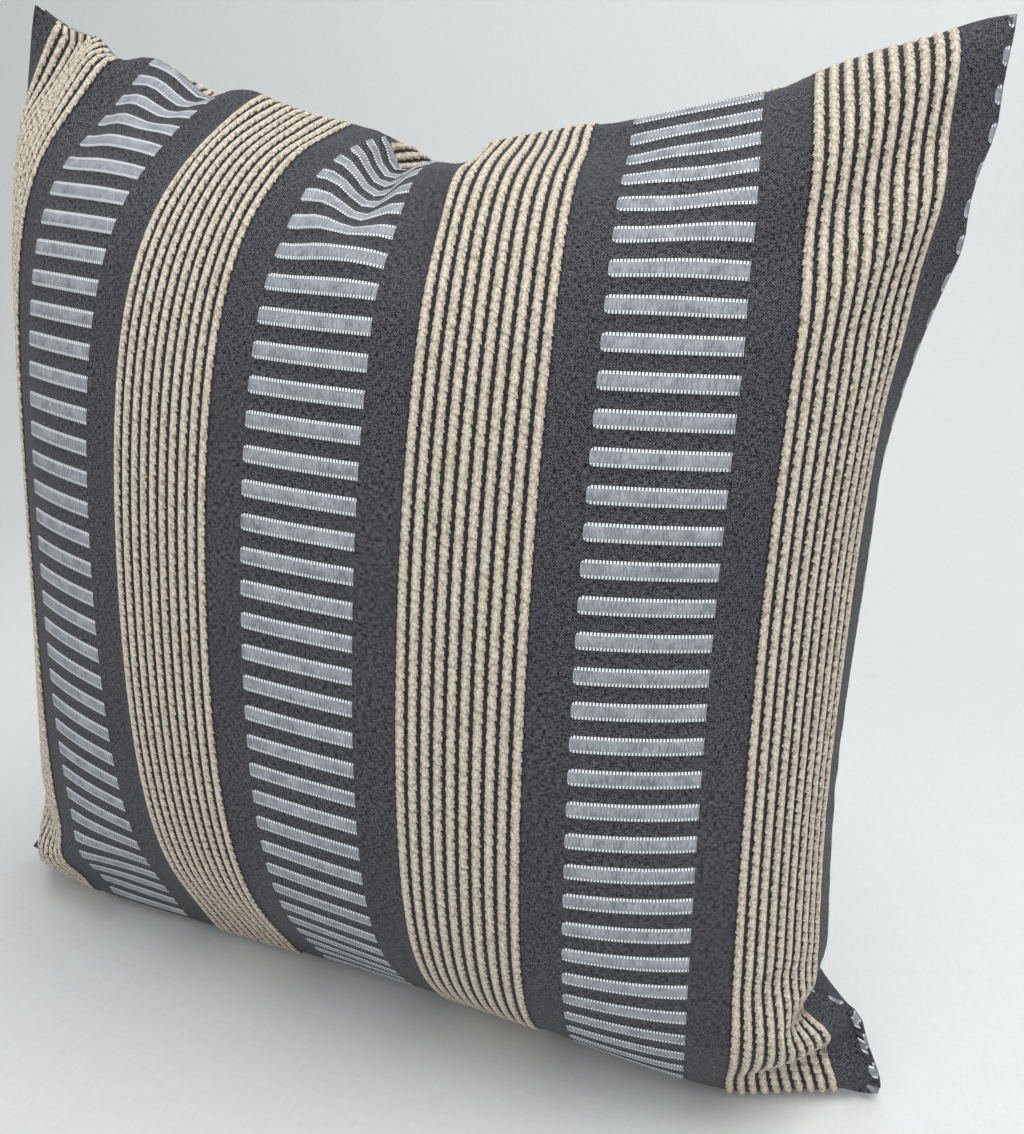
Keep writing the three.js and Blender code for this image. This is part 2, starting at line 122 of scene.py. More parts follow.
def fill_depth(x, z):
    """Half-depth of the filling at a point of the seam plane."""
    f = FORM
    half_width = f["half_width"] + f["flare"] * ((z - 0.21) / 0.21) ** 2
    half_width = half_width + f["foot"] * np.clip(1 - z / 0.25, 0, 1)
    across = np.abs(x - f["shift"] - f["lean"] * (z - 0.2)) / half_width
    top = f["top"] + f["left_rise"] * np.clip(-x / 0.1, 0, 1)
    top = top - CHOP["drop"] * np.exp(-(((x - CHOP["x"]) / CHOP["width"]) ** 2))
    bottom = f["sink"] + f["sink_slope"] * x / 0.24 - f["heel"] * np.clip(x / 0.2, 0, 1) ** 2
    up = (2 * z - top - bottom) / (top - bottom)
    body = 1 - np.clip(across, 0, 1) ** f["side_power"]
    body *= 1 - np.clip(np.abs(up), 0, 1) ** f["end_power"]
    slack = (f["settled"] + f["settled_slope"] * x) * np.clip(1 - z / 0.08, 0, 1) ** 2
    return f["depth"] * (1 - slack) * (1 + f["depth_slope"] * x / 0.24) * body ** f["roundness"]


def flat_sheet(cells):
    """Both panels flat and upright, bulged a little so that the filling knows which way to push."""
    share = np.linspace(0, 1, cells + 1)
    u, v = np.meshgrid(share, share, indexing="ij")
    bulge = 0.03 * np.sqrt(np.sin(np.pi * u) * np.sin(np.pi * v))
    panels = [np.stack([(u - 0.5) * SIDE, sign * bulge, v * SIDE + FOLD_HEIGHT], -1) for sign in (-1, 1)]
    return np.stack(panels)


def finer(sheet):
    """The same sheet with twice the cells, each new point on a smooth curve through its neighbours."""
    count = sheet.shape[1]
    to = cubic_weights(np.linspace(0, count - 1, 2 * count - 1), count)
    return np.einsum("ai,sijk,bj->sabk", to, sheet, to)


def cubic_weights(places, count):
    """Matrix that reads a row of points at fractional places, by Catmull-Rom curves."""
    cell = np.clip(places.astype(int), 0, count - 2)
    t = places - cell
    four = (
        (-t + 2 * t**2 - t**3) / 2,
        (2 - 5 * t**2 + 3 * t**3) / 2,
        (t + 4 * t**2 - 3 * t**3) / 2,
        (-(t**2) + t**3) / 2,
    )
    weights = np.zeros((len(places), count + 2))
    for offset, share in enumerate(four):
        np.add.at(weights, (np.arange(len(places)), cell + offset), share)
    weights[:, 1] += 2 * weights[:, 0]  # the points past each end carry the edge straight on
    weights[:, 2] -= weights[:, 0]
    weights[:, -2] += 2 * weights[:, -1]
    weights[:, -3] -= weights[:, -1]
    return weights[:, 1:-1]


def pairs(count, du, dv):
    """Pairs of points du and dv apart, in two groups that hold no point twice."""
    groups = []
    for odd in (0, 1):
        across = np.arange(count - du)
        up = np.arange(max(0, -dv), count - max(0, dv))
        if du:
            across = across[(across // du) % 2 == odd]
        else:
            up = up[(up // dv) % 2 == odd]
        first = (slice(None), *np.ix_(across, up))
        groups.append((first, (slice(None), *np.ix_(across + du, up + dv))))
    return groups


def outward(sheet):
    """Each point's outward normal, as long as the cloth area that it stands for."""
    normal = np.cross(np.gradient(sheet, axis=1), np.gradient(sheet, axis=2))
    normal[1] *= -1
    return normal


def all_springs(count):
    """Pairs of points, how far apart they are cut, and how they resist stretch and squeeze."""
    cell = SIDE / (count - 1)
    kinds = (
        ((1, 0), 1.0, 0.5), ((0, 1), 1.0, 0.5),
        ((1, 1), 0.25, 0.25), ((1, -1), 0.25, 0.25),
        ((2, 0), STIFFNESS, STIFFNESS), ((0, 2), STIFFNESS, STIFFNESS),
    )
    return [(a, b, math.hypot(*step) * cell, pull, push)
            for step, pull, push in kinds for a, b in pairs(count, *step)]


def filled_share(flat):
    """Where the filling reaches: 1 over most of the cut, 0 in its corners."""
    u, v = np.meshgrid(flat, flat, indexing="ij")
    filled = np.ones_like(u)
    for corner_u in (0, SIDE):
        for corner_v in (0, SIDE):
            filled *= np.clip((np.hypot(u - corner_u, v - corner_v) - CORNER_EMPTY) / CORNER_FADE, 0, 1)
    return filled


def filling_push(sheet, filled, cell):
    """The filling's push on each point, with the cloth's own weight."""
    normal = outward(sheet)
    size = np.linalg.norm(normal, axis=-1, keepdims=True)
    middle = (FORM["tilt"] + FORM["twist"] * sheet[..., 0]) * sheet[..., 2]
    room = fill_depth(sheet[..., 0], sheet[..., 2]) - np.abs(sheet[..., 1] - middle)
    press = np.clip(1 + room / FILL_SOFTNESS, 0, MOST_PUSH) * filled
    force = press[..., None] * normal / np.maximum(size, 1e-12) * np.minimum(size / cell**2, 1)
    force[..., 2] -= SAG
    return force


def pull_springs(sheet, springs):
    for a, b, rest, pull, push in springs:
        apart = sheet[b] - sheet[a]
        length = np.linalg.norm(apart, axis=-1, keepdims=True)
        error = length - rest
        move = apart * np.where(error > 0, pull, push) * error / np.maximum(length, 1e-9) / 2
        sheet[a] += move
        sheet[b] -= move


def keep_apart(sheet):
    gap = sheet[1, 1:-1, 1:-1, 1] - sheet[0, 1:-1, 1:-1, 1]
    close = np.clip(LEAST_GAP - gap, 0, 10 * MM) / 2
    sheet[0, 1:-1, 1:-1, 1] -= close
    sheet[1, 1:-1, 1:-1, 1] += close


def sew(sheet, zipped):
    """Joins the panels along every edge but the opening."""
    for edge in (np.s_[:, 0], np.s_[:, -1], np.s_[:, :, -1]):
        sheet[edge] = sheet[edge].mean(0)
    sheet[:, ~zipped, 0] = sheet[:, ~zipped, 0].mean(0)


def hold_guides(sheet):
    last = sheet.shape[1] - 1
    for (i, j), spot in GUIDES.items():
        held = sheet[:, i * last // GUIDE_PARTS, j * last // GUIDE_PARTS]
        held += (np.array(spot) * MM - held) * GUIDE_PULL


def rest_flat(sheet, resting, spread):
    """Keeps the cloth on each side of the zip low and spread out."""
    base = sheet[resting]
    base[0, ..., 1] = np.minimum(base[0, ..., 1], -spread)
    base[1, ..., 1] = np.maximum(base[1, ..., 1], spread)
    base[..., 2] = np.minimum(base[..., 2], FOLD_HEIGHT)
    sheet[resting] = base


def lie_on_floor(sheet, before):
    low = sheet[..., 2] < FLOOR
    sheet[..., 2][low] = FLOOR
    for axis in (0, 1):
        sheet[..., axis][low] = before[..., axis][low] * GRIP + sheet[..., axis][low] * SLIP


def settle(sheet, steps, rate):
    """Fills the cover and lets it come to rest."""
    count = sheet.shape[1]
    cell = SIDE / (count - 1)
    flat = np.linspace(0, SIDE, count)
    zipped = np.abs(flat - SIDE / 2) < OPENING
    hem = np.zeros((2, zipped.sum(), 3))
    hem[..., 0] = flat[zipped] - SIDE / 2
    hem[..., 1] = np.array([[-SLOT], [SLOT]])
    hem[..., 2] = FOLD_HEIGHT
    resting = np.ix_((0, 1), zipped, flat < REST_WIDTH)
    spread = SLOT + FLAT_SPREAD * flat[flat < REST_WIDTH]
    springs = all_springs(count)
    filled = filled_share(flat)
    before = sheet.copy()
    for _ in range(steps):
        force = filling_push(sheet, filled, cell)
        sheet, before = sheet + (sheet - before) * KEPT_SPEED + force * rate * cell, sheet
        pull_springs(sheet, springs)
        keep_apart(sheet)
        sew(sheet, zipped)
        hold_guides(sheet)
        rest_flat(sheet, resting, spread)
        sheet[:, zipped, 0] = hem
        lie_on_floor(sheet, before)
    return sheet


def ironed(sheet):
    """The sheet with its sharpest crumples eased out; the sewn edges ease along themselves."""
    for axis in (1, 2):
        lines = np.moveaxis(sheet, axis, 0)
        eased = lines.copy()
        eased[1:-1] = (lines[:-2] + 2 * lines[1:-1] + lines[2:]) / 4
        sheet = np.moveaxis(eased, 0, axis)
    return sheet


def settled_cover():
    """The cover at rest, worked out on coarse cloth first and then on finer cloth."""
    sheet = settle(flat_sheet(24), 900, 0.003)
    sheet = settle(finer(sheet), 600, 0.0015)
    sheet = settle(finer(sheet), 500, 0.0007)
    return ironed(ironed(sheet))


def read_sheet(sheet, across, up):
    """Points of the sheet at the flat places across and up, as a grid."""
    count = sheet.shape[1]
    to_across = cubic_weights(across / SIDE * (count - 1), count)
    to_up = cubic_weights(up / SIDE * (count - 1), count)
    return np.einsum("ai,sijk,bj->sabk", to_across, sheet, to_up)


def read_places(sheet, u, v):
    """Points of the sheet at any flat places."""
    count = sheet.shape[1]
    to_u = cubic_weights(u.ravel() / SIDE * (count - 1), count)
    to_v = cubic_weights(v.ravel() / SIDE * (count - 1), count)
    return np.einsum("ei,sijk,ej->sek", to_u, sheet, to_v, optimize=True).reshape(len(sheet), *u.shape, 3)


# ---- relief of the weave ----
def pattern_place(u, side):
    """Distance from the left edge of the ladder that a flat place belongs to."""
    return (u + (BACK_SHIFT if side else 0) - LADDER_EDGE) % REPEAT


def relief(u, v, side):
    """How far the ribs and rungs stand proud of the cloth."""
    place = pattern_place(u, side)
    rib = (place - BAND_START) / RIB_PITCH
    off = (rib % 1 - 0.5) / (RIB_HALF + 0.03)
    ribs = RIB_HEIGHT * np.sqrt(np.clip(1 - off**2, 0, 1)) * ((rib > 0) & (rib < RIBS))
    uneven = 1 + 0.06 * np.sin(v * 900 + np.floor(rib) * 2.4) + 0.04 * np.sin(v * 2310 + np.floor(rib) * 5.1)
    rung = (v - RUNG_PHASE) / RUNG_PITCH
    inside = np.abs((rung + 0.5) % 1 - 0.5) * RUNG_PITCH < RUNG_HALF
    rungs = RUNG_HEIGHT * inside * ((place > 0) & (place < LADDER_WIDTH))
    edge = np.minimum(np.minimum(u, SIDE - u), np.minimum(v, SIDE - v))
    return (ribs * uneven + rungs) * np.clip(edge / (4 * MM), 0, 1)


def thinned(places):
    """The sorted places inside the cut, with its ends, at least 0.45 mm apart."""
    inner = sorted(p for p in places if 0.6 * MM < p < SIDE - 0.6 * MM)
    kept = [0.0]
    for p in inner:
        if p - kept[-1] > 0.45 * MM:
            kept.append(p)
    return np.array([*kept, SIDE])


def columns(side):
    """Places across a panel where its relief needs points."""
    places = [1.5 * MM, 3 * MM, SIDE - 1.5 * MM, SIDE - 3 * MM]
    shift = -BACK_SHIFT if side else 0
    for k in range(-2, 6):
        start = LADDER_EDGE + shift + k * REPEAT
        ladder = [-0.25 * MM, 0.25 * MM, *np.linspace(0.006, LADDER_WIDTH - 0.006, 7)]
        ladder += [LADDER_WIDTH - 0.25 * MM, LADDER_WIDTH + 0.25 * MM]
        ladder += [LADDER_WIDTH + 0.007, LADDER_WIDTH + 0.013, REPEAT - 0.007, REPEAT - 0.013]
        places += [start + x for x in ladder]
        for rib in range(RIBS):
            places += [start + BAND_START + RIB_PITCH * (rib + t) for t in (0, 0.17, 0.33, 0.5, 0.67, 0.83)]
        places.append(start + BAND_START + BAND_WIDTH)
    return thinned(places)


def rows():
    """Places up a panel where its relief needs points."""
    places = [1.5 * MM, 3.5 * MM, SIDE - 1.5 * MM, SIDE - 3.5 * MM]
    first = RUNG_PHASE % RUNG_PITCH
    for k in range(-1, 38):
        middle = first + k * RUNG_PITCH
        places += [middle + sign * (RUNG_HALF + off) for sign in (-1, 1) for off in (-0.25 * MM, 0.25 * MM)]
    return thinned(places)


# ---- mesh helpers ----
def add_mesh(name, points, faces, body="pillow", material=None, slot=None, smooth=True):
    mesh = bpy.data.meshes.new(name)
    mesh.from_pydata([tuple(p) for p in points], [], [tuple(int(i) for i in f) for f in faces])
    mesh.update()
    piece = bpy.data.objects.new(name, mesh)
    bpy.context.scene.collection.objects.link(piece)
    mesh.polygons.foreach_set("use_smooth", [smooth] * len(mesh.polygons))
    if material:
        mesh.materials.append(material)
    if body:
        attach(piece, body)
    return piece


def set_flat_map(piece, u, v):
    """The UV map "flat": each point's place on the flat cut, in metres."""
    layer = piece.data.uv_layers.new(name="flat")
    corner = np.zeros(len(piece.data.loops), np.int32)
    piece.data.loops.foreach_get("vertex_index", corner)
    layer.data.foreach_set("uv", np.stack([u[corner], v[corner]], -1).astype(np.float32).ravel())


def rim(nu, nv):
    """Indices once round a grid of points that is stored across first."""
    bottom = [i * nv for i in range(nu - 1)]
    right = [(nu - 1) * nv + j for j in range(nv - 1)]
    top = [i * nv + nv - 1 for i in range(nu - 1, 0, -1)]
    left = [j for j in range(nv - 1, 0, -1)]
    return np.array(bottom + right + top + left)


def shell_faces(nu, nv, loops, flip):
    """Faces of a closed shell: outer grid, inner grid, then loops round the rim between them."""
    i, j = np.meshgrid(np.arange(nu - 1), np.arange(nv - 1), indexing="ij")
    a = (i * nv + j).ravel()
    outer = np.stack([a, a + nv, a + nv + 1, a + 1], -1)
    inner = outer[:, ::-1] + nu * nv
    edge = rim(nu, nv)
    between = [2 * nu * nv + k * len(edge) + np.arange(len(edge)) for k in range(loops)]
    chain = [edge, *between, edge + nu * nv]
    strips = [np.stack([c, d, np.roll(d, -1), np.roll(c, -1)], -1) for c, d in zip(chain, chain[1:])]
    faces = np.concatenate([outer, inner, *strips])
    return faces[:, ::-1] if flip else faces


def tube(name, path, radius, sides, **where):
    """A round closed tube along a path."""
    path = np.asarray(path, float)
    along = np.gradient(path, axis=0)
    along /= np.linalg.norm(along, axis=1, keepdims=True)
    side = np.cross(along, np.where(np.abs(along[:, 2:]) > 0.9, (0, 1.0, 0), (0, 0, 1.0)))
    side /= np.linalg.norm(side, axis=1, keepdims=True)
    over = np.cross(side, along)
    turn = np.linspace(0, 2 * math.pi, sides, endpoint=False)
    ring = np.cos(turn)[None, :, None] * side[:, None] + np.sin(turn)[None, :, None] * over[:, None]
    points = (path[:, None] + radius * ring).reshape(-1, 3)
    n = len(path)
    k = np.arange(sides)
    faces = [tuple(q) for r in range(n - 1)
             for q in np.stack([r * sides + k, r * sides + (k + 1) % sides,
                                (r + 1) * sides + (k + 1) % sides, (r + 1) * sides + k], -1)]
    faces += [tuple(k[::-1]), tuple((n - 1) * sides + k)]
    return add_mesh(name, points, faces, **where)


# ---- materials ----
class Value:
    """A number in a node tree, so that a pattern reads as arithmetic."""

    def __init__(self, tree, socket):
        self.tree, self.socket = tree, socket

    def math(self, operation, *others):
        node = self.tree.nodes.new("ShaderNodeMath")
        node.operation = operation
        for pin, value in zip(node.inputs, (self, *others)):
            plug(self.tree, value, pin)
        return Value(self.tree, node.outputs[0])

    def __add__(self, other):
        return self.math("ADD", other)

    def __sub__(self, other):
        return self.math("SUBTRACT", other)

    def __mul__(self, other):
        return self.math("MULTIPLY", other)

    def __truediv__(self, other):
        return self.math("DIVIDE", other)

    def __lt__(self, other):
        return self.math("LESS_THAN", other)

    def __gt__(self, other):
        return self.math("GREATER_THAN", other)

    def fract(self):
        return self.math("FRACT")

    def floor(self):
        return self.math("FLOOR")

    def abs(self):
        return self.math("ABSOLUTE")

    def power(self, other):
        return self.math("POWER", other)

    def wave(self, period):
        """From 0 to 1 and back once a period."""
        return (self * (2 * math.pi / period)).math("SINE") * 0.5 + 0.5

    def between(self, low, high):
        return (self > low) * (self < high)

    def step(self, low, high):
        """0 below low, 1 above high, smooth between."""
        node = self.tree.nodes.new("ShaderNodeMapRange")
        node.interpolation_type = "SMOOTHSTEP"
        for name, value in (("Value", self), ("From Min", low), ("From Max", high)):
            plug(self.tree, value, node.inputs[name])
        return Value(self.tree, node.outputs["Result"])


def plug(tree, value, pin):
    """Links a value or a socket to an input, or sets a plain number or colour on it."""
    if isinstance(value, Value):
        value = value.socket
    if isinstance(value, bpy.types.NodeSocket):
        tree.links.new(value, pin)
    else:
        pin.default_value = value


def noise(tree, x, y, z=0.0, detail=2.0, roughness=0.6):
    """Smooth noise from 0 to 1 over the given coordinates."""
    place = tree.nodes.new("ShaderNodeCombineXYZ")
    for pin, value in zip(place.inputs, (x, y, z)):
        plug(tree, value, pin)
    node = tree.nodes.new("ShaderNodeTexNoise")
    node.inputs["Scale"].default_value = 1.0
    node.inputs["Detail"].default_value = detail
    node.inputs["Roughness"].default_value = roughness
    tree.links.new(place.outputs[0], node.inputs["Vector"])
    return Value(tree, node.outputs["Fac"])


def cells(tree, x, y, z=0.0):
    """Distance from the middle of the nearest random cell of about unit size."""
    place = tree.nodes.new("ShaderNodeCombineXYZ")
    for pin, value in zip(place.inputs, (x, y, z)):
        plug(tree, value, pin)
    node = tree.nodes.new("ShaderNodeTexVoronoi")
    node.inputs["Scale"].default_value = 1.0
    tree.links.new(place.outputs[0], node.inputs["Vector"])
    return Value(tree, node.outputs["Distance"])


def mix(tree, share, first, second):
    """A colour between two colours."""
    node = tree.nodes.new("ShaderNodeMix")
    node.data_type = "RGBA"
    plug(tree, share, node.inputs["Factor"])
    plug(tree, first, node.inputs["A"])
    plug(tree, second, node.inputs["B"])
    return node.outputs["Result"]


def rgb(red, green, blue):
    """A linear colour from its 8-bit screen values."""
    shares = (value / 255 for value in (red, green, blue))
    return (*(c / 12.92 if c <= 10 / 255 else ((c + 0.055) / 1.055) ** 2.4 for c in shares), 1)


def new_material(name, roughness=0.85, **sockets):
    """A Principled material, its tree and its shader node."""
    material = bpy.data.materials.new(name)
    material.use_nodes = True
    tree = material.node_tree
    shader = next(n for n in tree.nodes if n.type == "BSDF_PRINCIPLED")
    shader.inputs["Roughness"].default_value = roughness
    for socket, value in sockets.items():
        shader.inputs[socket.replace("_", " ")].default_value = value
    return material, tree, shader


def add_bump(tree, shader, height, strength=1.0):
    """Height is in metres."""
    bump = tree.nodes.new("ShaderNodeBump")
    bump.inputs["Strength"].default_value = strength
    bump.inputs["Distance"].default_value = 1.0
    plug(tree, height, bump.inputs["Height"])
    tree.links.new(bump.outputs["Normal"], shader.inputs["Normal"])


def flat_place(tree):
    """The flat cut's coordinates, in millimetres."""
    node = tree.nodes.new("ShaderNodeUVMap")
    node.uv_map = "flat"
    parts = tree.nodes.new("ShaderNodeSeparateXYZ")
    tree.links.new(node.outputs["UV"], parts.inputs[0])
    return Value(tree, parts.outputs["X"]) * 1000.0, Value(tree, parts.outputs["Y"]) * 1000.0


def ground_weave(tree, u, v):
    """Twill: fine diagonal lines over mixed dark and grey yarns. Gives its colour and height in mm."""
    twill = (u * 0.72 + v * 0.69 + noise(tree, u * 0.5, v * 0.5, 12.0) * 0.5).wave(0.8)
    warp = noise(tree, u * 2.0, v * 0.45, 1.0, 2.0, 0.6)
    weft = noise(tree, u * 0.45, v * 2.0, 2.0, 2.0, 0.6)
    fleck = noise(tree, u * 0.8, v * 0.8, 3.0, 2.0, 0.6)
    tone = twill * 0.34 + warp * 1.3 + weft * 1.5 + fleck * 0.3
    ground = mix(tree, tone.step(1.50, 1.94), rgb(8, 8, 9), rgb(93, 94, 99))
    patchy = noise(tree, u * 0.02, v * 0.02, 4.0)
    ground = mix(tree, patchy.step(0.3, 0.7) * 0.2, ground, rgb(50, 51, 58))
    ground_height = twill * 0.07 + fleck * 0.08
    return ground, ground_height


def rung_weave(tree, u, v, place):
    """A pale mixed weft float with bright stitches along both long edges: where, colour and height in mm."""
    half = RUNG_HALF / MM
    pitch = RUNG_PITCH / MM
    off = (((v - RUNG_PHASE / MM) / pitch + 0.5).fract() - 0.5) * pitch
    reach = off.abs() / half
    rounded = place - reach.power(4.0) * 1.4
    wobble = (noise(tree, u * 1.6, v * 0.7, 5.0) - 0.5) * 0.5
    rung = (rounded > 0.0) * (place < LADDER_WIDTH / MM) * ((off.abs() + wobble * 0.3) < half)
    streak = noise(tree, u * 1.7, v * 0.22, 6.0, 3.0, 0.75)
    speck = noise(tree, u * 2.4, v * 2.4, 7.0, 2.0, 0.8)
    mottle = noise(tree, u * 0.12, v * 0.12, 8.0)
    body = streak * 0.9 + speck * 0.8 + mottle * 0.5
    bar = mix(tree, body.step(0.72, 1.5), rgb(84, 89, 95), rgb(186, 190, 195))
    stitch_place = (place / 1.32).fract()
    stitch = stitch_place.between(0.2, 0.78) * (reach > 0.64)
    slit = (stitch_place.between(0.2, 0.78) * -1.0 + 1.0) * (reach > 0.72)
    bar = mix(tree, slit * 0.8, bar, rgb(66, 69, 76))
    bar = mix(tree, stitch, bar, rgb(232, 236, 240))
    bar_height = streak * 0.12 + stitch * 0.16 - slit * 0.12
    return rung, bar, bar_height


def rib_pile(tree, u, v, place):
    """Knobbly chenille with a scalloped edge: where its band and its pile lie, colour and height in mm."""
    rib = (place - BAND_START / MM) / (RIB_PITCH / MM)
    number = rib.floor()
    across = rib.fract() - 0.5
    tooth = ((v + number * 3.1) / 5.0 + across * 0.5).fract()
    ragged = (noise(tree, u * 0.9, v * 0.8, 9.0, 3.0, 0.8) - 0.5) * 0.34
    edge = across.abs() + (tooth - 0.5) * 0.10 + ragged
    pile = (edge < RIB_HALF) * rib.between(0.0, float(RIBS))
    knob = cells(tree, u * 0.85, v * 0.72, number)
    tuft = noise(tree, (u + v * 0.35) * 1.5, v * 0.62, 10.0, 3.0, 0.8)
    grain = noise(tree, u * 3.2, v * 2.6, 11.0, 2.0, 0.8)
    # painted shade: besides the pile's own tufts and grain, the tone is darkened towards each rib's sides,
    # away from the middle of each knob and at the end of each scallop tooth, standing in for the shade on the
    # round ribs and in their dips
    light = tuft * 0.9 + grain * 0.45 - knob * 0.35 - across.abs() * 0.5 - tooth.power(6.0) * 0.12
    cream = mix(tree, light.step(0.05, 0.72), rgb(132, 118, 98), rgb(240, 231, 214))
    pile_height = tuft * 0.5 + grain * 0.25 - knob * 0.55 - tooth * 0.25
    return rib.between(0.0, float(RIBS)), pile, cream, pile_height


def striped_cloth():
    """Charcoal twill with ladders of pale bars and bands of cream chenille ribs."""
    material, tree, shader = new_material("striped_cloth", 0.92, Sheen_Weight=0.06, Sheen_Roughness=0.5)
    shader.inputs["Specular IOR Level"].default_value = 0.25
    u, v = flat_place(tree)
    place = ((u - LADDER_EDGE / MM) / (REPEAT / MM)).fract() * (REPEAT / MM)
    ground, ground_height = ground_weave(tree, u, v)
    rung, bar, bar_height = rung_weave(tree, u, v, place)
    band, pile, cream, pile_height = rib_pile(tree, u, v, place)
    colour = mix(tree, rung, ground, bar)
    # painted shade: inside each band of ribs the ground is darkened halfway to near black, standing in for
    # the shade in the gaps between the raised ribs
    colour = mix(tree, band * 0.5, colour, rgb(9, 9, 10))
    colour = mix(tree, pile, colour, cream)
    tree.links.new(colour, shader.inputs["Base Color"])
    plain = rung * -1.0 + 1.0
    height = ground_height * plain + bar_height * rung + pile_height * pile
    add_bump(tree, shader, height * MM, 0.8)
    return material


def object_place(tree):
    """The point's own place on its object, in metres."""
    place = tree.nodes.new("ShaderNodeTexCoord")
    parts = tree.nodes.new("ShaderNodeSeparateXYZ")
    tree.links.new(place.outputs["Object"], parts.inputs[0])
    return [Value(tree, parts.outputs[axis]) for axis in "XYZ"]


def plain_weave(name, dark, light, thread=0.45, roughness=0.9, flat=False):
    """A plain cotton weave of the given thread width in millimetres."""
    material, tree, shader = new_material(name, roughness, Sheen_Weight=0.1)
    if flat:
        u, v = flat_place(tree)
    else:
        x, y, z = object_place(tree)
        u, v = x * 1000.0, (y + z) * 1000.0
    over = u.wave(2 * thread) * v.wave(2 * thread)
    under = (u + thread).wave(2 * thread) * (v + thread).wave(2 * thread)
    slub = noise(tree, u * 0.5, v * 0.08, 1.0) * 0.5 + noise(tree, u * 0.08, v * 0.5, 2.0) * 0.5
    tone = (over + under) * 0.6 + slub
    tree.links.new(mix(tree, tone.step(0.3, 1.3), dark, light), shader.inputs["Base Color"])
    add_bump(tree, shader, (over + under) * (0.12 * thread * MM), 0.8)
    return material


def thread_material(name, dark, light):
    """Twisted sewing thread."""
    material, tree, shader = new_material(name, 0.7, Sheen_Weight=0.15)
    x, y, z = (part * 1000.0 for part in object_place(tree))
    twist = (x + y * 1.7 + z).wave(0.5)
    tree.links.new(mix(tree, twist, dark, light), shader.inputs["Base Color"])
    add_bump(tree, shader, twist * (0.04 * MM), 0.6)
    return material


def metal_material():
    """Satin nickel plate with fine scuffs."""
    material, tree, shader = new_material("nickel", 0.32, Metallic=1.0)
    x, y, z = (part * 1000.0 for part in object_place(tree))
    scuff = noise(tree, x * 0.8, y * 6.0, z * 6.0, 3.0, 0.7)
    tree.links.new(mix(tree, scuff, rgb(176, 178, 182), rgb(208, 209, 211)), shader.inputs["Base Color"])
    tree.links.new((scuff * 0.25 + 0.22).socket, shader.inputs["Roughness"])
    add_bump(tree, shader, scuff * (0.01 * MM), 0.5)
    return material


def coil_material():
    """Extruded nylon, a little shiny."""
    material, tree, shader = new_material("nylon_coil", 0.38)
    x, y, z = (part * 1000.0 for part in object_place(tree))
    tone = noise(tree, x * 0.7, y * 2.0, z * 2.0)
    tree.links.new(mix(tree, tone, rgb(38, 39, 43), rgb(62, 63, 68)), shader.inputs["Base Color"])
    add_bump(tree, shader, tone * (0.02 * MM), 0.5)
    return material


def fibre_material():
    """Loose white polyester fibre: soft tangled strands."""
    material, tree, shader = new_material("fibre", 0.95, Sheen_Weight=0.4)
    u, v = flat_place(tree)
    along = noise(tree, u * 0.9, v * 0.12, 1.0, 4.0, 0.75)
    across = noise(tree, u * 0.12, v * 0.9, 2.0, 4.0, 0.75)
    strand = (along + across) * 0.5
    lump = noise(tree, u * 0.04, v * 0.04, 3.0, 2.0)
    tone = (strand + lump * 0.5).step(0.4, 1.0)
    tree.links.new(mix(tree, tone, rgb(214, 214, 212), rgb(246, 246, 244)), shader.inputs["Base Color"])
    add_bump(tree, shader, strand * (0.8 * MM), 0.8)
    return material


# ---- sewn panels ----
def middle_at(sheet, edge_u, edge_v, reach=0.0):
    """Points halfway between the panels, reach inside each place on the cut's edge."""
    inside_u, inside_v = (np.clip(edge, reach, SIDE - reach) for edge in (edge_u, edge_v))
    return read_places(sheet, inside_u, inside_v).mean(0)


def surface(sheet, side, across, up):
    """Points of one panel and its outward unit normals."""
    base = read_sheet(sheet, across, up)
    normal = outward(base)[side]
    return base[side], normal / np.linalg.norm(normal, axis=-1, keepdims=True)


def sewn_panel(name, sheet, side, across, up, proud, wall, zipped, **look):
    """A closed panel: its face, its inside and the allowance turned in at the seam.

    proud is how far the face stands off the sheet, wall the cloth's thickness, and zipped how far from the
    middle the bottom edge is folded beside a zip and not sewn.
    """
    sign = 1 if side else -1
    base, normal = surface(sheet, side, across, up)
    outer = base + normal * proud[..., None]
    inner = base - normal * wall
    border = rim(len(across), len(up))
    u, v = (grid.ravel() for grid in np.meshgrid(across, up, indexing="ij"))
    edge_u, edge_v = u[border], v[border]
    folded = (edge_v == 0) & (np.abs(edge_u - SIDE / 2) < zipped)
    loops = []
    for layer in (0, 1):
        sewn = middle_at(sheet, edge_u, edge_v, ALLOWANCE)
        sewn[:, 1] += sign * (SEAM_GAP + layer * wall / 2)
        fold = base.reshape(-1, 3)[border].copy()
        fold[:, 1] = sign * (SLOT + ZIP_FOLD)
        fold[:, 2] = TAPE_LOW.z - (0.3 + 0.6 * layer) * MM
        loops.append(np.where(folded[:, None], fold, sewn))
    sewn_edge = np.zeros(len(u), bool)
    sewn_edge[border[~folded]] = True
    sewn_edge = sewn_edge.reshape(outer.shape[:2])
    outer[sewn_edge, 1] += sign * SEAM_GAP * 0.7
    inner[sewn_edge, 1] = sign * np.maximum(sign * inner[sewn_edge, 1], SEAM_GAP + wall)
    points = np.concatenate([outer.reshape(-1, 3), inner.reshape(-1, 3), *loops])
    piece = add_mesh(name, points, shell_faces(len(across), len(up), 2, flip=side == 1), **look)
    set_flat_map(piece, np.concatenate([u, u, edge_u, edge_u]), np.concatenate([v, v, edge_v, edge_v]))
    return piece


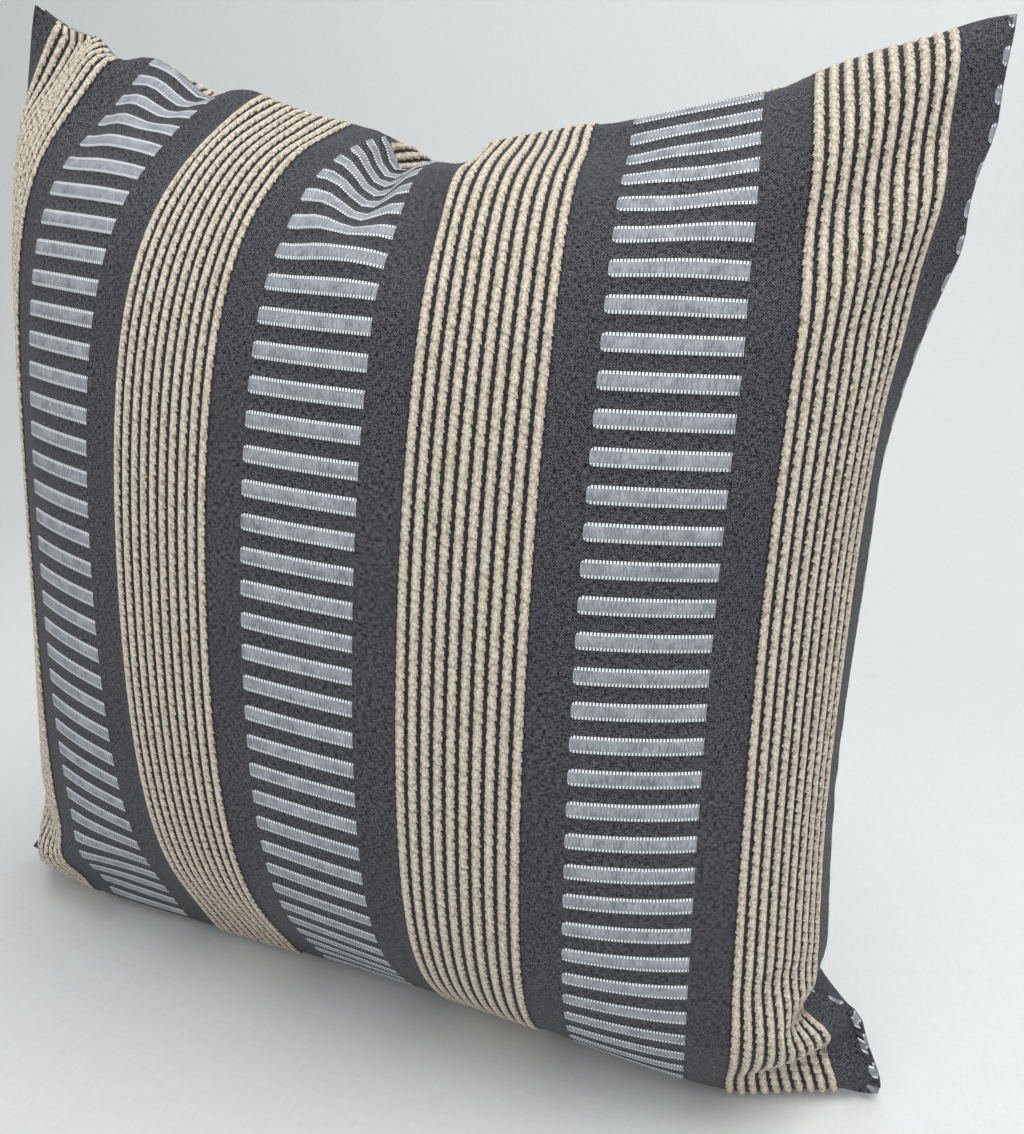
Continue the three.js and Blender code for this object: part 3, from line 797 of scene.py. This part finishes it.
def cover_panel(sheet, side, material):
    across, up = columns(side), rows()
    u, v = np.meshgrid(across, up, indexing="ij")
    name = "cover_back_panel" if side else "cover_front_panel"
    piece = sewn_panel(name + "_cloth", sheet, side, across, up, relief(u, v, side), CLOTH, OPENING,
                       material=material, slot="cover_cloth")
    if side:  # the back's pattern starts at another place in the weave
        layer = piece.data.uv_layers["flat"]
        places = np.zeros(2 * len(layer.data), np.float32)
        layer.data.foreach_get("uv", places)
        places[::2] += BACK_SHIFT
        layer.data.foreach_set("uv", places)
    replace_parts(piece, name)


def seam_places(start, step):
    """Flat places round the sewn edge, from start right of the middle to the same left of it."""
    bottom = np.arange(SIDE / 2 + start, SIDE, step)
    side = np.arange(0, SIDE, step)
    full = np.full(len(side), SIDE)
    u = np.concatenate([bottom, full, side[::-1], full * 0, SIDE - bottom[::-1]])
    v = np.concatenate([bottom * 0, side, full, side[::-1], bottom * 0])
    return u, v


def seam_thread(name, node, sheet, start, step, inset, swing, radius, **look):
    """A lock stitch that passes to and fro between the panels, just inside the seam."""
    u, v = seam_places(start, step)
    path = middle_at(sheet, u, v, inset)
    path[:, 1] += swing * (-1.0) ** np.arange(len(path))
    piece = tube(name, path, radius, 6, **look)
    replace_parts(piece, node)


def dashes(name, middles, along, length, radius, **look):
    """Short separate stitches: a capsule at each middle, along its direction."""
    along = along / np.linalg.norm(along, axis=1, keepdims=True)
    side = np.cross(along, (0, 0, 1.0))
    side /= np.linalg.norm(side, axis=1, keepdims=True)
    over = np.cross(side, along)
    shares = np.array([-0.5, -0.42, -0.2, 0.2, 0.42, 0.5])
    wide = np.array([0.25, 0.75, 1, 1, 0.75, 0.25]) * radius
    turn = np.linspace(0, 2 * math.pi, 6, endpoint=False)
    ring = np.cos(turn)[:, None] * side[:, None, None] + np.sin(turn)[:, None] * over[:, None, None]
    spine = middles[:, None] + along[:, None] * shares[:, None] * length
    points = (spine[:, :, None] + ring * wide[:, None, None]).reshape(-1, 3)
    k = np.arange(6)
    band = np.stack([k, (k + 1) % 6, 6 + (k + 1) % 6, 6 + k], -1)
    one = [q + 6 * r for r in range(5) for q in band]
    one += [k[::-1], 30 + k]
    faces = [tuple(f + 36 * n) for n in range(len(middles)) for f in one]
    return add_mesh(name, points, faces, **look)


# ---- zip ----
def zip_stitches(sheet, side, material):
    """The line of stitches that holds a tape to the folded edge, seen in the groove."""
    pitch = 3 * MM
    xs = np.arange(STITCH_LOW.x, STITCH_HIGH.x, pitch) + pitch / 2
    xs = xs[xs < STITCH_HIGH.x]
    base, normal = surface(sheet, side, xs + SIDE / 2, np.array([0, ZIP_STITCH_INSET, 2 * ZIP_STITCH_INSET]))
    middles = base[:, 1] + normal[:, 1] * 0.25 * MM
    name = "zip_stitch_back" if side else "zip_stitch_front"
    look = dict(material=material, slot="cover_thread")
    piece = dashes(name + "_thread", middles, np.gradient(middles, axis=0), 2.4 * MM, 0.28 * MM, **look)
    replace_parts(piece, name)


def zip_coil(node, material):
    """One half of the zip: a helix of nylon sewn along its tape."""
    low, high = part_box(node)
    pitch, wire, per_turn = 1.2 * MM, 0.22 * MM, 10
    turns = int((high.x - low.x - 4 * wire) / pitch)
    angle = np.linspace(0, 2 * math.pi * turns, turns * per_turn)
    path = np.stack([
        low.x + 2 * wire + angle / (2 * math.pi) * pitch,
        (low.y + high.y) / 2 + ((high.y - low.y) / 2 - wire) * np.sin(angle),
        (low.z + high.z) / 2 + ((high.z - low.z) / 2 - wire) * np.cos(angle),
    ], -1)
    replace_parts(tube(node + "_helix", path, wire, 5, material=material, slot="zip_coil"), node)


def dress_zip():
    """The tapes, stops, slider and tab keep their own shapes."""
    metal = metal_material()
    tape = plain_weave("tape_twill", rgb(40, 41, 45), rgb(72, 73, 78), thread=0.3, roughness=0.85)
    for node in ("zip_tape_front", "zip_tape_back"):
        dress(node, tape, 0.15 * MM)
    for node in ("zip_top_stop_front", "zip_top_stop_back", "zip_bottom_stop", "zip_slider", "zip_pull_tab"):
        dress(node, metal, 0.18 * MM)
    nylon = coil_material()
    for node in ("zip_coil_front", "zip_coil_back"):
        zip_coil(node, nylon)


def dress(node, material, edge):
    """Gives a CAD piece its material and slightly rounded edges."""
    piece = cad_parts[node]
    piece.data.materials.clear()
    piece.data.materials.append(material)
    bevel = piece.modifiers.new("edges", "BEVEL")
    bevel.width, bevel.segments, bevel.limit_method = edge, 2, "ANGLE"
    bevel.harden_normals = True


# ---- the pad inside ----
def pad_sheet(cover, inset, gap, base):
    """A smaller sewn sheet inside the cover: inset from its seams, gap from its cloth, with round corners."""
    half = SIDE / 2 - inset
    across, up = np.meshgrid(np.linspace(-1, 1, PAD_POINTS), np.linspace(-1, 1, PAD_POINTS), indexing="ij")
    rounded = half * (1 - 0.06 * np.abs(across * up) ** 5)
    dent = np.exp(-((across / 0.2) ** 2)) * np.clip(up, 0, 1) ** 3
    faces = read_places(cover, SIDE / 2 + across * rounded, SIDE / 2 + up * rounded - DENT_ROOM * dent)
    middle = faces.mean(0)
    away = faces - middle
    size = np.linalg.norm(away, axis=-1, keepdims=True)
    to_edge = half * (1 - np.maximum(np.abs(across), np.abs(up)))
    share = np.clip(to_edge / (30 * MM), 0, 1)[..., None] ** 0.6
    clear = gap + 12 * MM * dent[..., None]
    sheet = middle + away * np.clip(1 - clear / np.maximum(size, MM), 0.02, 1) * share
    sheet[..., 2] = np.maximum(sheet[..., 2], base)
    return sheet


def insert(cover):
    """The white pad: two cotton panels, their seam, the hand-closed slit and the fibre."""
    cotton = plain_weave("insert_cotton", rgb(226, 224, 217), rgb(246, 244, 238), thread=0.4, flat=True)
    white = thread_material("insert_thread", rgb(214, 212, 204), rgb(244, 242, 236))
    sheet = pad_sheet(cover, 14 * MM, 6 * MM, INSERT_LOW.z + 0.2 * MM)
    places = np.linspace(0, SIDE, PAD_POINTS)
    smooth = np.zeros((PAD_POINTS, PAD_POINTS))
    for side, node in ((0, "insert_shell_front"), (1, "insert_shell_back")):
        piece = sewn_panel(node + "_cloth", sheet, side, places, places, smooth, 0.5 * MM, 0,
                           material=cotton, slot="insert_cloth")
        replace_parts(piece, node)
    thread = dict(material=white, slot="insert_thread")
    seam_thread("insert_seam_stitches", "insert_seam_thread", sheet, CLOSING_HALF, 3 * MM, 1 * MM,
                0.5 * MM, 0.2 * MM, **thread)
    xs = np.arange(-CLOSING_HALF, CLOSING_HALF, 4 * MM) + 2 * MM
    middles = middle_at(sheet, xs + SIDE / 2, xs * 0, 0.5 * MM)
    slant = np.tile((0.6, 0.8, 0), (len(xs), 1))
    piece = dashes("insert_closing_whipstitch", middles, slant, 2.6 * MM, 0.3 * MM, **thread)
    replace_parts(piece, "insert_closing_stitch")
    filling(pad_sheet(cover, 18 * MM, 10 * MM, INSERT_LOW.z + 2.5 * MM))


def filling(sheet):
    """The fibre: one soft lumpy body."""
    places = np.linspace(0, SIDE, PAD_POINTS)
    u, v = (grid.ravel() for grid in np.meshgrid(places, places, indexing="ij"))
    lumps = 1 - 0.03 * (np.sin(u * 61) * np.sin(v * 53 + 1) + np.sin(u * 113 + v * 97) * 0.5 + 1)
    middle = sheet.mean(0)
    body = middle + (sheet - middle) * lumps.reshape(PAD_POINTS, PAD_POINTS, 1)
    body[0, ..., 1] -= 0.4 * MM
    body[1, ..., 1] += 0.4 * MM
    body[..., 2] = np.maximum(body[..., 2], INSERT_LOW.z + 2.5 * MM)
    points = body.reshape(-1, 3)
    faces = shell_faces(PAD_POINTS, PAD_POINTS, 0, flip=False)
    piece = add_mesh("fibre_body", points, faces, material=fibre_material(), slot="fibre")
    set_flat_map(piece, np.tile(u, 2), np.tile(v, 2))
    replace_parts(piece, "fibre_fill")


# ---- floor, light and camera ----
def stage():
    """A white cloth that sweeps from the floor up behind the pillow."""
    across = np.linspace(-3, 3, 121)
    reach = np.linspace(-3, 4, 141)
    wall, bend = 1.15, 0.5  # far behind the pillow
    flat_run = wall - bend
    x, s = np.meshgrid(across, reach, indexing="ij")
    turn = np.clip((s - flat_run) / bend, 0, math.pi / 2)
    rise = np.maximum(s - flat_run - bend * math.pi / 2, 0)
    y = np.minimum(s, flat_run) + bend * np.sin(turn)
    z = bend * (1 - np.cos(turn)) + rise
    points = np.stack([x, y, z], -1).reshape(-1, 3)
    nu, nv = x.shape
    i, j = np.meshgrid(np.arange(nu - 1), np.arange(nv - 1), indexing="ij")
    a = (i * nv + j).ravel()
    faces = np.stack([a, a + nv, a + nv + 1, a + 1], -1)
    cloth = plain_weave("backdrop_cloth", rgb(214, 216, 216), rgb(228, 230, 230), thread=0.5)
    piece = add_mesh("backdrop", points, faces, body=None, material=cloth)


def area_light(name, place, target, size, power, colour=(1, 1, 1)):
    data = bpy.data.lights.new(name, "AREA")
    data.shape, data.size, data.size_y = "RECTANGLE", *size
    data.energy, data.color = power, colour
    lamp = bpy.data.objects.new(name, data)
    lamp.location = place
    lamp.rotation_euler = (Vector(target) - Vector(place)).to_track_quat("-Z", "Y").to_euler()
    bpy.context.scene.collection.objects.link(lamp)


def lights():
    middle = (0, 0, 0.2)
    area_light("overhead", (0.5, -0.3, 1.9), middle, (1.8, 1.3), 28)
    area_light("front", (-0.5, -2.4, 1.1), middle, (2.0, 1.6), 13)
    area_light("right", (1.0, -1.5, 1.6), middle, (0.8, 0.8), 6)
    world = bpy.data.worlds.new("studio")
    world.use_nodes = True
    world.node_tree.nodes["Background"].inputs["Color"].default_value = (0.98, 0.99, 1.0, 1)
    world.node_tree.nodes["Background"].inputs["Strength"].default_value = 0.44
    bpy.context.scene.world = world
    bpy.context.scene.view_settings.view_transform = "Standard"


def camera():
    """Close, from the right and above, looking down to the left."""
    place = Vector((0.2020, -0.4402, 0.3647))
    yaw, pitch, roll = -0.3283, -0.2239, 0.0524
    ahead = Vector((math.sin(yaw) * math.cos(pitch), math.cos(yaw) * math.cos(pitch), math.sin(pitch)))
    right = Vector((math.cos(yaw), -math.sin(yaw), 0))
    up = right.cross(ahead)
    tilted_right = right * math.cos(roll) + up * math.sin(roll)
    tilted_up = up * math.cos(roll) - right * math.sin(roll)
    data = bpy.data.cameras.new("view")
    data.sensor_width = 36
    data.lens = 31.62
    data.shift_y = -0.042
    eye = bpy.data.objects.new("view", data)
    axes = Matrix((tilted_right, tilted_up, -ahead)).transposed().to_4x4()
    eye.matrix_world = Matrix.Translation(place) @ axes
    bpy.context.scene.collection.objects.link(eye)
    bpy.context.scene.camera = eye


camera()
lights()
stage()
cover = settled_cover()
cloth = striped_cloth()
thread = thread_material("cover_thread", rgb(48, 48, 52), rgb(84, 84, 90))
for side in (0, 1):
    cover_panel(cover, side, cloth)
    zip_stitches(cover, side, thread)
seam_thread("cover_seam_stitches", "cover_seam_thread", cover, OPENING + 2 * MM, 2.5 * MM, 0.8 * MM,
            0.45 * MM, 0.22 * MM, material=thread, slot="cover_thread")
dress_zip()
insert(cover)
